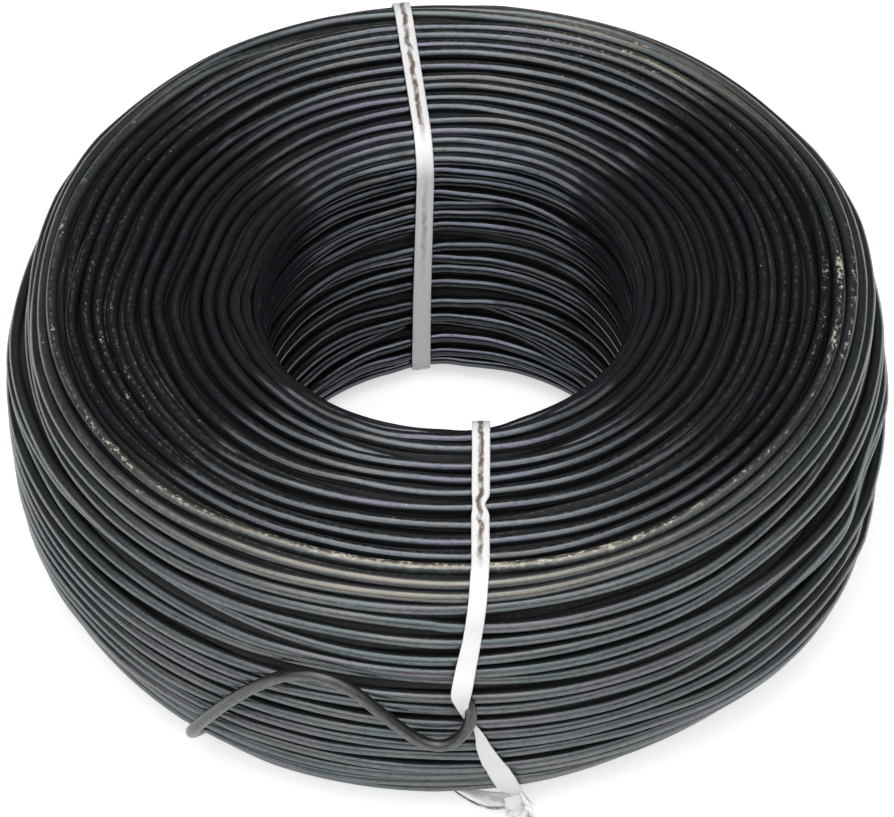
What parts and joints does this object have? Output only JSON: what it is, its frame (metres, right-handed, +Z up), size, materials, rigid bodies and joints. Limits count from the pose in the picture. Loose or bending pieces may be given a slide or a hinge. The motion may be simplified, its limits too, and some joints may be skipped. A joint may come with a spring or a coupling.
{
  "type": "coil of binding wire",
  "caption": "Flat coil of black annealed binding wire with an open bore, held by two flat ties, its loose end hooked over one of them",
  "frame": {"origin": "middle of the bore, half-way up the coil, 22.15 mm above the floor that it lies on", "axes": "+Z up along the bore's axis, -Y towards the front tie, where the loose end is hooked"},
  "size_m": [0.117, 0.1209, 0.0451],
  "materials": {
    "black_wire": "black annealed oxide, lightly oiled, dusty, with rust blooms",
    "white_tie": "woven white tape, stained grey and brown"
  },
  "bodies": {
    "root": {"wire_coil": "black_wire", "wire_tail": "black_wire", "front_tie": "white_tie", "rear_tie": "white_tie"}
  },
  "joints": []
}
